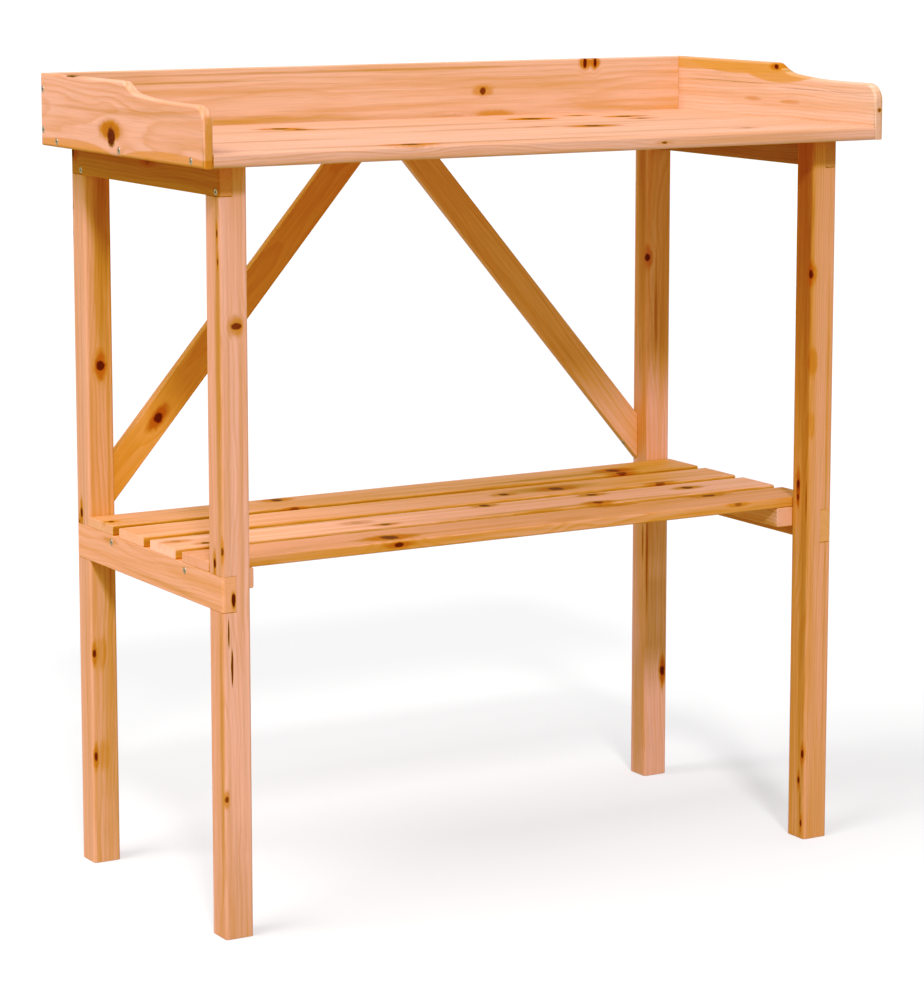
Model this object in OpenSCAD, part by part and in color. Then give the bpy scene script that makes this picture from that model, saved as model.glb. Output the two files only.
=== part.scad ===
// Potting bench in oiled fir: four legs, two lapped side frames, a worktop with
// a low surround on three sides, a slatted shelf and two rear braces.
// Millimetres. +Z is up, the front faces -Y, and the origin is on the floor
// under the middle of the bench.

/* [Overall size] */
// Width over the side boards
overall_w = 825; // [700:5:1200]
// Depth from the front of the worktop to the back board
overall_d = 390; // [390:5:600]
// Height to the top of the back board
overall_h = 865; // [780:5:1000]

/* [Legs and rails] */
// Side of the square leg section
leg_size = 31.5; // [28:0.5:36]
// Radius on the long edges of the legs
leg_edge_r = 3.5; // [1:0.5:6]
// Thickness of the side rails, which is also the depth of their laps
rail_t = 15; // [10:0.5:18]
// Height of the rails under the worktop
top_rail_h = 31; // [25:1:60]
// Height of the rails under the shelf
shelf_rail_h = 37; // [30:1:60]
// How far the worktop reaches past the legs at each side
side_overhang = 34; // [20:1:60]
// How far the worktop reaches past the front legs
front_overhang = 37; // [20:1:40]

/* [Worktop and surround] */
// Thickness of the worktop panel
worktop_t = 15; // [12:1:22]
// Radius on the front edges of the worktop
worktop_edge_r = 4; // [1:0.5:6]
// Thickness of the side boards and of the back board
surround_t = 11; // [9:0.5:14]
// Height of the surround at the back, from the underside of the worktop
surround_h = 77; // [60:1:120]
// How much lower the front part of each side board is
side_drop = 16; // [13:1:24]
// Radius of the rounded front corner of each side board
side_corner_r = 19; // [5:1:25]

/* [Shelf] */
// Height of the shelf surface above the floor
shelf_top = 387; // [250:1:500]
// Width of a slat
slat_w = 61.5; // [45:0.5:64]
// Thickness of a slat
slat_t = 11; // [9:0.5:14]
// Radius on the long edges of the slats and cleats
slat_edge_r = 2; // [0.5:0.5:3]
// Width of the cleats under the slats
cleat_w = 36; // [30:1:45]
// Height of the cleats under the slats
cleat_h = 21.5; // [18:0.5:28]

/* [Braces] */
// Width of a brace across its face
brace_w = 35; // [28:1:45]
// Thickness of a brace
brace_t = 11; // [9:0.5:14]

/* [Screws] */
// Radius of the countersunk heads
head_r = 3.5; // [3:0.25:4.5]
// Height of the countersunk heads
head_h = 2.4; // [2:0.1:3]
// Radius of the shanks
shank_r = 2; // [1.5:0.25:2]

/* [Hidden] */
$fn = 32;

// Colours of the timber and of the screws
fir = [0.88, 0.60, 0.40];
fir_pale = [0.93, 0.68, 0.50];
fir_dark = [0.76, 0.46, 0.25];
zinc = [0.72, 0.72, 0.70];

// Levels above the floor
worktop_bottom = overall_h - surround_h;
shelf_rail_top = shelf_top - slat_t;

// Plan of the leg frame
frame_x = overall_w / 2 - side_overhang;
frame_front = -overall_d / 2 + front_overhang;
frame_back = overall_d / 2;
frame_d = frame_back - frame_front;
leg_inner_x = frame_x - leg_size;
bay_front = frame_front + leg_size;
bay_back = frame_back - leg_size;
bay_d = bay_back - bay_front;
rail_inner_x = frame_x - rail_t;

// Inside of the surround
tray_x = overall_w / 2 - surround_t;
tray_back = overall_d / 2 - surround_t;
back_board_mid = overall_d / 2 - surround_t / 2;

// Outline of a side board: the step between its two heights is a tight round
// over the top, a short straight slope, a hollow, and a long tail that levels
// out. Its arcs are given as [distance from front to back, height].
step_start = -8;
step_round_r = 14;
step_hollow_r = 60;
step_tail_r = 800;
step_steep = 27; // steepest angle, on the straight slope
step_gentle = 6; // angle where the hollow passes into the tail
side_low = overall_h - side_drop;
step_round = [step_start, overall_h - step_round_r];
step_hollow_z = side_low + step_tail_r - (step_tail_r - step_hollow_r) * cos(step_gentle);
step_slope_h = step_round[1] - step_hollow_z + (step_round_r + step_hollow_r) * cos(step_steep);
step_slope_l = step_slope_h / tan(step_steep);
step_hollow = [
    step_start - (step_round_r + step_hollow_r) * sin(step_steep) - step_slope_l, step_hollow_z
];
step_tail = [
    step_hollow[0] - (step_tail_r - step_hollow_r) * sin(step_gentle), side_low + step_tail_r
];

// Shelf slats, evenly spread between the legs
slat_count = 4;
slat_pitch = (bay_d - slat_w) / (slat_count - 1);
cleat_mid_x = rail_inner_x - cleat_w / 2;

// Braces: each lower edge runs from the shelf at the leg to the middle of the
// worktop's underside.
brace_rise = worktop_bottom - shelf_top;
brace_angle = atan(brace_rise / leg_inner_x);
brace_cut_x = brace_w / sin(brace_angle);
brace_cut_z = brace_w / cos(brace_angle);
brace_mid = overall_d / 2 - brace_t / 2;

// Screws: the rim of a head, the length of a point and the cross recess
head_rim = 0.4;
point_h = 5;
point_r = 0.3;
recess_l = 4;
recess_w = 1;
recess_d = 1.3;
// Lengths, by what each screw holds
board_screw_l = 40;
rail_screw_l = rail_t + 0.8 * (leg_size - rail_t);
worktop_screw_l = top_rail_h + 0.6 * worktop_t;
cleat_screw_l = 35;
slat_screw_l = cleat_h + 0.75 * slat_t;
brace_screw_l = 42;
// Distances of the screws from the ends and edges of what they hold
board_screw_inset = 29;
board_screw_rise = 6;
rail_screw_rise = 4.5;
rail_screw_inset = 7;
back_screw_inset = 17;
cleat_screw_inset = 56;
cleat_screw_drop = 8;
worktop_screw_inset = 45;
slat_screw_half = 17;
brace_screw_foot = 17;
brace_screw_head = 12;

// A screw is [head centre, direction into the timber, length].
// Through the side boards into the ends of the worktop
side_board_screw_list = [
    for (s = [-1, 1]) for (y = [-overall_d / 2 + board_screw_inset, 0, tray_back - board_screw_inset])
        [[s * overall_w / 2, y, worktop_bottom + board_screw_rise], [-s, 0, 0], board_screw_l]
];
// Through the side boards into the ends of the back board
back_board_screw_list = [
    for (s = [-1, 1]) for (z = [worktop_bottom + back_screw_inset, overall_h - back_screw_inset])
        [[s * overall_w / 2, back_board_mid, z], [-s, 0, 0], board_screw_l]
];
// Through the top rails into the legs
rail_screw_list = [
    for (s = [-1, 1]) for (y = [frame_front + rail_screw_inset, bay_back + rail_screw_inset])
        [[s * frame_x, y, worktop_bottom - top_rail_h + rail_screw_rise], [-s, 0, 0], rail_screw_l]
];
// Up through the top rails into the worktop
worktop_screw_list = [
    for (s = [-1, 1]) for (y = [bay_front + worktop_screw_inset, bay_back - worktop_screw_inset])
        [[s * (frame_x - rail_t / 2), y, worktop_bottom - top_rail_h], [0, 0, 1], worktop_screw_l]
];
// Through the shelf rails into the cleats
cleat_screw_list = [
    for (s = [-1, 1]) for (y = [bay_front + cleat_screw_inset, bay_back - cleat_screw_inset])
        [[s * frame_x, y, shelf_rail_top - cleat_screw_drop], [-s, 0, 0], cleat_screw_l]
];
// Up through the cleats into the slats
slat_screw_list = [
    for (s = [-1, 1]) for (i = [0:slat_count - 1]) for (k = [-1, 1])
        [[s * cleat_mid_x, slat_mid(i) + k * slat_screw_half, shelf_rail_top - cleat_h],
         [0, 0, 1], slat_screw_l]
];
// Square to the lower edges of the braces, into the legs and into the back board
brace_foot_screw_list = [for (s = [-1, 1]) brace_screw(s, leg_inner_x - brace_screw_foot)];
brace_head_screw_list = [for (s = [-1, 1]) brace_screw(s, brace_screw_head)];
brace_screw_list = concat(brace_foot_screw_list, brace_head_screw_list);

function slat_mid(i) = bay_front + slat_w / 2 + i * slat_pitch;

function brace_screw(s, x) = [
    [s * x, brace_mid, worktop_bottom - x * tan(brace_angle)],
    [s * sin(brace_angle), 0, cos(brace_angle)],
    brace_screw_l
];

// The screws of a list that enter on one side of the bench
function on_side(list, s) = [for (e = list) if (sign(e[0][0]) == s) e];

// The screws of a list whose heads lie between two depths
function between_y(list, low, high) = [for (e = list) if (e[0][1] > low && e[0][1] < high) e];

function arc(centre, r, from, to, steps = 16) = [
    for (i = [0:steps])
        let (a = from + (to - from) * i / steps) centre + r * [cos(a), sin(a)]
];

// A rectangle with rounded corners, from the origin into the first quadrant
module rounded_rect(w, h, r) {
    translate([r, 0]) square([w - 2 * r, h]);
    translate([0, r]) square([w, h - 2 * r]);
    for (x = [r, w - r]) for (y = [r, h - r]) translate([x, y]) circle(r);
}

// Everything is drawn for the right side, and mirrored for the left
module at_side(s) {
    if (s < 0) mirror([1, 0, 0]) children();
    else children();
}

// Puts a screw's axis, which runs along +Z from its head, where the screw goes
module place(e) {
    translate(e[0])
        rotate([0, acos(e[1][2] / norm(e[1])), atan2(e[1][1], e[1][0])])
            children();
}

// The space that a screw fills in the timber
module screw_envelope(length) {
    rotate_extrude()
        polygon([
            [0, 0], [head_r, 0], [head_r, head_rim], [shank_r, head_h],
            [shank_r, length - point_h], [point_r, length], [0, length]
        ]);
}

module screw(length) {
    difference() {
        screw_envelope(length);
        for (a = [0, 90]) rotate([0, 0, a])
            translate([-recess_l / 2, -recess_w / 2, -1]) cube([recess_l, recess_w, recess_d + 1]);
    }
}

module screws(list) {
    color(zinc) for (e = list) place(e) screw(e[2]);
}

module drilled(list) {
    difference() {
        children();
        for (e = list) place(e) screw_envelope(e[2]);
    }
}

// One side's frame in plan, rounded at its outer corners, for legs and rails
module frame_plan() {
    translate([leg_inner_x, frame_front]) rounded_rect(leg_size, frame_d, leg_edge_r);
}

// A rail lies flush in the outer faces of its two legs
module rail(bottom, height) {
    translate([0, 0, bottom]) linear_extrude(height) intersection() {
        frame_plan();
        translate([rail_inner_x, frame_front]) square([rail_t, frame_d]);
    }
}

// The cuts in the legs that take the rails, open at the leg's outer face and top
module rail_laps() {
    for (level = [[worktop_bottom - top_rail_h, top_rail_h + 1],
                  [shelf_rail_top - shelf_rail_h, shelf_rail_h]])
        translate([rail_inner_x, frame_front - 1, level[0]]) cube([rail_t + 1, frame_d + 2, level[1]]);
}

module leg(s, front) {
    y = front ? frame_front : bay_back;
    fixings = concat(rail_screw_list, brace_foot_screw_list);
    color(fir) drilled(between_y(on_side(fixings, s), y, y + leg_size)) at_side(s) difference() {
        translate([leg_inner_x, y, 0])
            linear_extrude(worktop_bottom) rounded_rect(leg_size, leg_size, leg_edge_r);
        rail_laps();
    }
}

module top_rail(s) {
    color(fir_dark) drilled(on_side(concat(rail_screw_list, worktop_screw_list), s))
        at_side(s) rail(worktop_bottom - top_rail_h, top_rail_h);
}

module shelf_rail(s) {
    color(fir) drilled(on_side(cleat_screw_list, s))
        at_side(s) rail(shelf_rail_top - shelf_rail_h, shelf_rail_h);
}

module shelf_cleat(s) {
    color(fir_dark) drilled(on_side(concat(cleat_screw_list, slat_screw_list), s)) at_side(s)
        translate([rail_inner_x - cleat_w, bay_back, shelf_rail_top - cleat_h])
            rotate([90, 0, 0]) linear_extrude(bay_d) rounded_rect(cleat_w, cleat_h, slat_edge_r);
}

module shelf_slat(i) {
    y = slat_mid(i) - slat_w / 2;
    color(fir_pale) drilled(between_y(slat_screw_list, y, y + slat_w))
        translate([-frame_x, y, shelf_rail_top])
            rotate([90, 0, 90]) linear_extrude(2 * frame_x) rounded_rect(slat_w, slat_t, slat_edge_r);
}

module brace(s) {
    color(fir) drilled(on_side(brace_screw_list, s)) at_side(s)
        translate([0, overall_d / 2, 0]) rotate([90, 0, 0]) linear_extrude(brace_t)
            polygon([
                [0, worktop_bottom], [leg_inner_x, shelf_top],
                [leg_inner_x, shelf_top + brace_cut_z], [brace_cut_x, worktop_bottom]
            ]);
}

module worktop() {
    depth = tray_back + overall_d / 2;
    color(fir_pale) drilled(concat(side_board_screw_list, worktop_screw_list))
        translate([-tray_x, -overall_d / 2, worktop_bottom])
            rotate([90, 0, 90]) linear_extrude(2 * tray_x) intersection() {
                square([depth, worktop_t]);
                rounded_rect(depth + 2 * worktop_edge_r, worktop_t, worktop_edge_r);
            }
}

module side_board(s) {
    back = overall_d / 2;
    corner = [-back + side_corner_r, side_low - side_corner_r];
    color(fir) drilled(on_side(concat(side_board_screw_list, back_board_screw_list), s)) at_side(s)
        translate([tray_x, 0, 0]) rotate([90, 0, 90]) linear_extrude(surround_t)
            polygon(concat(
                [[-back, worktop_bottom], [back, worktop_bottom], [back, overall_h]],
                arc(step_round, step_round_r, 90, 90 + step_steep),
                arc(step_hollow, step_hollow_r, 270 + step_steep, 270 + step_gentle),
                arc(step_tail, step_tail_r, 270 + step_gentle, 270),
                arc(corner, side_corner_r, 90, 180)
            ));
}

module back_board() {
    color(fir) drilled(concat(back_board_screw_list, brace_head_screw_list))
        translate([-tray_x, tray_back, worktop_bottom])
            cube([2 * tray_x, surround_t, surround_h]);
}

module side_board_screws() { screws(side_board_screw_list); }
module back_board_screws() { screws(back_board_screw_list); }
module rail_screws() { screws(rail_screw_list); }
module worktop_screws() { screws(worktop_screw_list); }
module cleat_screws() { screws(cleat_screw_list); }
module slat_screws() { screws(slat_screw_list); }
module brace_screws() { screws(brace_screw_list); }

leg(-1, true);  // leg_front_left
leg(1, true);  // leg_front_right
leg(-1, false);  // leg_rear_left
leg(1, false);  // leg_rear_right
top_rail(-1);  // top_rail_left
top_rail(1);  // top_rail_right
shelf_rail(-1);  // shelf_rail_left
shelf_rail(1);  // shelf_rail_right
shelf_cleat(-1);  // shelf_cleat_left
shelf_cleat(1);  // shelf_cleat_right
shelf_slat(0);  // shelf_slat_front
shelf_slat(1);  // shelf_slat_front_middle
shelf_slat(2);  // shelf_slat_rear_middle
shelf_slat(3);  // shelf_slat_rear
brace(-1);  // brace_left
brace(1);  // brace_right
worktop();
side_board(-1);  // side_board_left
side_board(1);  // side_board_right
back_board();
side_board_screws();
back_board_screws();
rail_screws();
worktop_screws();
cleat_screws();
slat_screws();
brace_screws();
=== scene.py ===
"""Looks of the potting bench: every timber is built here as a mesh with eased edges, real laps and
drilled screw holes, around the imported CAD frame, and gets its own procedural fir. Metres, +Z up,
origin on the floor under the middle of the bench, front towards -Y."""

import math

import bmesh
import bpy
from mathutils import Matrix, Vector


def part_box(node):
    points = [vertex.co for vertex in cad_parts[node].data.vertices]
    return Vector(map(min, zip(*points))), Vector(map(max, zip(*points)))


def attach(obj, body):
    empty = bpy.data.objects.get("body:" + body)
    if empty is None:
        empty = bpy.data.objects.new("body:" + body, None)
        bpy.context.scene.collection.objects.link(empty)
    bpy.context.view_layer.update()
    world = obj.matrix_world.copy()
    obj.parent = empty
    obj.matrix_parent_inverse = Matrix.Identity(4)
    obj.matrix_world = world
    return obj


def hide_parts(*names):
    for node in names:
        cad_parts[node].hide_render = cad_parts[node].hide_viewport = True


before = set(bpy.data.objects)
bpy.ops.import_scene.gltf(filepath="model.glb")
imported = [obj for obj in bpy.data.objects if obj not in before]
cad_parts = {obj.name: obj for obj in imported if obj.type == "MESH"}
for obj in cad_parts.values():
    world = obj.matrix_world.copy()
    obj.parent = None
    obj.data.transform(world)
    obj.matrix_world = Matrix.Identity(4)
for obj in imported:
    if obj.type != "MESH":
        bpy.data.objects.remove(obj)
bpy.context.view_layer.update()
MM = 0.001

# ---------------------------------------------------------------- camera

CAMERA_AT = (-1.834, -3.078, 1.036)
CAMERA_YAW = 30.70  # degrees to the right of +Y
CAMERA_PITCH = -8.40  # degrees, downwards
CAMERA_LENS = 119.4  # millimetres
CAMERA_SHIFT_Y = -0.10


def make_camera():
    data = bpy.data.cameras.new("camera")
    data.lens = CAMERA_LENS
    data.shift_y = CAMERA_SHIFT_Y
    data.clip_end = 50
    camera = bpy.data.objects.new("camera", data)
    camera.location = CAMERA_AT
    camera.rotation_euler = (math.radians(90 + CAMERA_PITCH), 0, math.radians(-CAMERA_YAW))
    bpy.context.scene.collection.objects.link(camera)
    bpy.context.scene.camera = camera


# ---------------------------------------------------------------- mesh building

# Where an outline's two coordinates and its extrusion go, for each axis of extrusion
SWEEPS = {
    "x": lambda a, b, c: (c, a, b),
    "y": lambda a, b, c: (a, c, b),
    "z": lambda a, b, c: (a, b, c),
}
EASE_STEPS = 3


def build(name, bm):
    """Makes a scene object of a bmesh, and frees the bmesh."""
    mesh = bpy.data.meshes.new(name)
    bm.to_mesh(mesh)
    bm.free()
    made = bpy.data.objects.new(name, mesh)
    bpy.context.scene.collection.objects.link(made)
    return made


def arc(centre, radius, start, end, steps=8):
    """Points on an arc, angles in degrees."""
    angles = [math.radians(start + (end - start) * i / steps) for i in range(steps + 1)]
    return [(centre[0] + radius * math.cos(a), centre[1] + radius * math.sin(a)) for a in angles]


def rounded(low, high, radii, steps=6):
    """A rectangle's outline, anticlockwise from its lower left corner, with one radius for each corner."""
    (x0, y0), (x1, y1) = low, high
    corners = [((x0, y0), (1, 1), 180), ((x1, y0), (-1, 1), 270),
               ((x1, y1), (-1, -1), 0), ((x0, y1), (1, -1), 90)]
    points = []
    for ((x, y), (sx, sy), start), r in zip(corners, radii):
        points += arc((x + sx * r, y + sy * r), r, start, start + 90, steps) if r else [(x, y)]
    return points


def inset(outline, amount):
    """The outline moved inwards by amount, its corners mitred."""
    moved = []
    for i, point in enumerate(outline):
        before, here, after = Vector(outline[i - 1]), Vector(point), Vector(outline[(i + 1) % len(outline)])
        a, b = (here - before).normalized(), (after - here).normalized()
        na, nb = Vector((-a.y, a.x)), Vector((-b.y, b.x))
        mitre = (na + nb) / (1 + na.dot(nb))
        moved.append(tuple(here + mitre * amount))
    return moved


def sweep(name, outline, axis, low, high, ease):
    """Extrudes an outline along an axis, with its end edges rounded over by ease."""
    angles = [math.pi / 2 * i / EASE_STEPS for i in range(EASE_STEPS + 1)]
    rings = [(low + ease * (1 - math.cos(a)), ease * (1 - math.sin(a))) for a in angles]
    rings += [(low + high - at, back) for at, back in reversed(rings)]
    bm = bmesh.new()
    loops = []
    for at, back in rings:
        points = inset(outline, back) if back > 1e-9 else outline
        loops.append([bm.verts.new(SWEEPS[axis](a, b, at)) for a, b in points])
    count = len(outline)
    for below, above in zip(loops, loops[1:]):
        for i in range(count):
            j = (i + 1) % count
            bm.faces.new((below[i], below[j], above[j], above[i]))
    bm.faces.new(loops[0][::-1])
    bm.faces.new(loops[-1])
    bmesh.ops.recalc_face_normals(bm, faces=bm.faces)
    return build(name, bm)


def lathe(bm, profile, head, direction, steps=20):
    """Adds a closed turned solid: profile holds (radius, depth) along direction from head."""
    turn = Vector(direction).to_track_quat("Z", "Y").to_matrix().to_4x4()
    place = Matrix.Translation(head) @ turn
    rings = []
    for radius, depth in profile:
        rings.append([bm.verts.new(place @ Vector((radius * math.cos(a), radius * math.sin(a), depth)))
                      for a in (2 * math.pi * i / steps for i in range(steps))])
    for near, far in zip(rings, rings[1:]):
        for i in range(steps):
            j = (i + 1) % steps
            bm.faces.new((near[i], near[j], far[j], far[i]))
    bm.faces.new(rings[0][::-1])
    bm.faces.new(rings[-1])


def subtract(piece, cutter):
    """Cuts one object out of another and deletes the cutter."""
    modifier = piece.modifiers.new("cut", "BOOLEAN")
    modifier.operation = "DIFFERENCE"
    modifier.solver = "EXACT"
    modifier.object = cutter
    depsgraph = bpy.context.evaluated_depsgraph_get()
    mesh = bpy.data.meshes.new_from_object(piece.evaluated_get(depsgraph), depsgraph=depsgraph)
    piece.modifiers.clear()
    piece.data = mesh
    bpy.data.objects.remove(cutter)


# ---------------------------------------------------------------- sizes, from the frame

def node_box(name):
    low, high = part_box(name)
    return Vector(low), Vector(high)


LEG_LOW, LEG_HIGH = node_box("leg_front_right")
REAR_LOW, REAR_HIGH = node_box("leg_rear_right")
TOP_RAIL_LOW, TOP_RAIL_HIGH = node_box("top_rail_right")
SHELF_RAIL_LOW, SHELF_RAIL_HIGH = node_box("shelf_rail_right")
TOP_LOW, TOP_HIGH = node_box("worktop")
SIDE_LOW, SIDE_HIGH = node_box("side_board_right")
BACK_LOW, BACK_HIGH = node_box("back_board")
BRACE_LOW, BRACE_HIGH = node_box("brace_right")

LEG_R = 3.5 * MM
SLAT_R = 2 * MM
WORKTOP_R = 4 * MM
BACK_R = 1.5 * MM
BRACE_WIDTH = 35 * MM
LAP_PLAY = 0.15 * MM

# How far each timber's end edges are rounded over
LEG_EASE = 0.8 * MM
RAIL_EASE = 0.9 * MM
BAR_EASE = 0.8 * MM
PANEL_EASE = 0.3 * MM
SIDE_EASE = 3 * MM
BRACE_EASE = 1.2 * MM
LAP_EASE = 0.05 * MM

# Screws, and the space drilled round them
HEAD_R = 3.5 * MM
HEAD_H = 2.4 * MM
HEAD_EDGE = 0.3 * MM
SHANK_R = 2 * MM
RECESS_ARM = 1.9 * MM
RECESS_WIDTH = 0.5 * MM
RECESS_DEPTH = 1.5 * MM
RECESS_EASE = 0.4 * MM
BRACE_SCREW_LENGTH = 42 * MM
RIM_R = HEAD_R + 0.35 * MM
RIM_FLARE = 0.3 * MM
RIM_DEPTH = 0.25 * MM
BORE_R = SHANK_R + 0.1 * MM
CONE_DEPTH = HEAD_H + 0.2 * MM
BORE_SPARE = 0.5 * MM
SCREW_SIDES = 28

# The side boards' outline
SIDE_DROP = 16 * MM
SIDE_CORNER_R = 19 * MM
STEP_START = -8 * MM
STEP_ROUND_R = 14 * MM
STEP_HOLLOW_R = 60 * MM
STEP_TAIL_R = 800 * MM
STEP_STEEP = 27  # degrees, on the straight slope
STEP_GENTLE = 6  # degrees, where the hollow passes into the tail


# ---------------------------------------------------------------- screws

def screw_holes(piece, screws):
    """Drills and countersinks for the CAD screws. Each screw is (head, direction, length)."""
    bm = bmesh.new()
    for head, direction, length in screws:
        lathe(bm, [(RIM_R + RIM_FLARE, -MM), (RIM_R, RIM_DEPTH), (BORE_R, CONE_DEPTH),
                   (BORE_R, length + BORE_SPARE)], head, direction)
    bmesh.ops.recalc_face_normals(bm, faces=bm.faces)
    subtract(piece, build("drill", bm))


def make_screws(node, screws):
    """Turned countersunk screws with a cross recess, one piece for a node's whole set."""
    bm = bmesh.new()
    lathe(bm, [(HEAD_R - HEAD_EDGE, 0), (HEAD_R, HEAD_EDGE), (SHANK_R, HEAD_H), (SHANK_R, 2 * HEAD_H)],
          Vector((0, 0, 0)), (0, 0, 1), SCREW_SIDES)
    bmesh.ops.recalc_face_normals(bm, faces=bm.faces)
    model = build("screw", bm)
    for long, short in ((RECESS_ARM, RECESS_WIDTH), (RECESS_WIDTH, RECESS_ARM)):
        arm = [(-long, -short), (long, -short), (long, short), (-long, short)]
        subtract(model, sweep("recess", arm, "z", -MM, RECESS_DEPTH, RECESS_EASE))
    made = bmesh.new()
    for head, direction, length in screws:
        turn = Vector(direction).to_track_quat("Z", "Y").to_matrix().to_4x4()
        known = len(made.verts)
        made.from_mesh(model.data)
        made.verts.ensure_lookup_table()
        # The model's short shank is drawn out to this screw's length.
        for vert in made.verts[known:]:
            if vert.co.z > HEAD_H + MM:
                vert.co.z = length
            vert.co = Matrix.Translation(head) @ turn @ vert.co
    bpy.data.objects.remove(model)
    return build("steel_" + node, made)


def islands(node):
    """The corner pairs of each separate solid in a CAD node, always in the same order."""
    bm = bmesh.new()
    bm.from_mesh(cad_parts[node].data)
    bmesh.ops.remove_doubles(bm, verts=bm.verts, dist=1e-6)
    left, found = set(bm.verts), []
    while left:
        stack, solid = [left.pop()], []
        while stack:
            vert = stack.pop()
            solid.append(vert.co.copy())
            for edge in vert.link_edges:
                other = edge.other_vert(vert)
                if other in left:
                    left.remove(other)
                    stack.append(other)
        low = Vector([min(v[i] for v in solid) for i in range(3)])
        high = Vector([max(v[i] for v in solid) for i in range(3)])
        found.append((low, high))
    bm.free()
    return sorted(found, key=lambda box: tuple(box[0]))


def inward_screws(node):
    """Screws that enter from the outer face of one side, straight towards the middle."""
    made = []
    for low, high in islands(node):
        side = 1 if low.x > 0 else -1
        middle = (low + high) / 2
        head = Vector((high.x if side > 0 else low.x, middle.y, middle.z))
        made.append((head, Vector((-side, 0, 0)), high.x - low.x))
    return made


def upward_screws(node):
    """Screws that enter from below, straight up."""
    made = []
    for low, high in islands(node):
        middle = (low + high) / 2
        made.append((Vector((middle.x, middle.y, low.z)), Vector((0, 0, 1)), high.z - low.z))
    return made


def brace_slope():
    """The angle of the right brace to the floor, in radians."""
    return math.atan2(BRACE_HIGH.z - BRACE_LOW.z, BRACE_HIGH.x - BRACE_LOW.x)


def brace_screws():
    """Screws square to the lower edge of each brace: the head is the end nearest the middle below."""
    slope = brace_slope()
    made = []
    for low, high in islands("brace_screws"):
        side = 1 if low.x + high.x > 0 else -1
        direction = Vector((side * math.sin(slope), 0, math.cos(slope)))
        middle = (low + high) / 2
        head = Vector((low.x if side > 0 else high.x, middle.y, low.z))
        head += Vector((side * HEAD_R * math.cos(slope), 0, HEAD_R * math.sin(slope)))
        made.append((head, direction, BRACE_SCREW_LENGTH))
    return made


def on_side(screws, side):
    return [s for s in screws if s[0].x * side > 0]


# ---------------------------------------------------------------- timbers

def mirrored(outline, side):
    """An outline in X and another coordinate, on the right for side 1 and mirrored for side -1."""
    return outline if side > 0 else [(-a, b) for a, b in reversed(outline)]


def make_leg(name, side, low, high):
    """A square leg with a lap cut out of its outer face for each rail."""
    outline = rounded(low.xy, high.xy, [LEG_R] * 4)
    leg = sweep(name, mirrored(outline, side), "z", low.z, high.z, LEG_EASE)
    beyond = 10 * MM
    for rail_low, rail_high in ((TOP_RAIL_LOW, TOP_RAIL_HIGH), (SHELF_RAIL_LOW, SHELF_RAIL_HIGH)):
        inner, outer = rail_low.x - LAP_PLAY, rail_high.x + beyond
        front, back = rail_low.y - beyond, rail_high.y + beyond
        lap = [(inner, front), (outer, front), (outer, back), (inner, back)]
        top = rail_high.z + (beyond if rail_high.z > high.z - MM else LAP_PLAY)
        subtract(leg, sweep("lap", mirrored(lap, side), "z", rail_low.z - LAP_PLAY, top, LAP_EASE))
    return leg


def make_rail(name, side, low, high):
    outline = rounded(low.xy, high.xy, [0, LEG_R, LEG_R, 0])
    return sweep(name, mirrored(outline, side), "z", low.z, high.z, RAIL_EASE)


def make_bar(name, low, high, axis, radii, ease=BAR_EASE):
    """A straight timber along X or Y, with one radius for each corner of its section."""
    a, c = ("y", "x") if axis == "x" else ("x", "y")
    section = rounded((getattr(low, a), low.z), (getattr(high, a), high.z), radii)
    return sweep(name, section, axis, getattr(low, c), getattr(high, c), ease)


def make_side_board(name, side):
    """A side board: a round over the top, a straight slope, a hollow and a long tail make its step."""
    front, back, low_top = SIDE_LOW.y, SIDE_HIGH.y, SIDE_HIGH.z - SIDE_DROP
    steep, gentle = math.radians(STEP_STEEP), math.radians(STEP_GENTLE)
    turn, relief = STEP_ROUND_R + STEP_HOLLOW_R, STEP_TAIL_R - STEP_HOLLOW_R
    round_z = SIDE_HIGH.z - STEP_ROUND_R
    hollow_z = low_top + STEP_TAIL_R - relief * math.cos(gentle)
    slope_length = (round_z - hollow_z + turn * math.cos(steep)) / math.tan(steep)
    hollow_y = STEP_START - turn * math.sin(steep) - slope_length
    tail_y = hollow_y - relief * math.sin(gentle)
    outline = [(front, SIDE_LOW.z), (back, SIDE_LOW.z), (back, SIDE_HIGH.z)]
    outline += arc((STEP_START, round_z), STEP_ROUND_R, 90, 90 + STEP_STEEP)
    outline += arc((hollow_y, hollow_z), STEP_HOLLOW_R, 270 + STEP_STEEP, 270 + STEP_GENTLE, 12)
    outline += arc((tail_y, low_top + STEP_TAIL_R), STEP_TAIL_R, 270 + STEP_GENTLE, 270, 12)[1:]
    outline += arc((front + SIDE_CORNER_R, low_top - SIDE_CORNER_R), SIDE_CORNER_R, 90, 180, 12)
    low, high = (SIDE_LOW.x, SIDE_HIGH.x) if side > 0 else (-SIDE_HIGH.x, -SIDE_LOW.x)
    return sweep(name, outline, "x", low, high, SIDE_EASE)


def make_brace(name, side):
    slope = brace_slope()
    outline = [(BRACE_LOW.x, BRACE_HIGH.z), (BRACE_HIGH.x, BRACE_LOW.z),
               (BRACE_HIGH.x, BRACE_LOW.z + BRACE_WIDTH / math.cos(slope)),
               (BRACE_LOW.x + BRACE_WIDTH / math.sin(slope), BRACE_HIGH.z)]
    return sweep(name, mirrored(outline, side), "y", BRACE_LOW.y, BRACE_HIGH.y, BRACE_EASE)


# ---------------------------------------------------------------- fir

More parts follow.
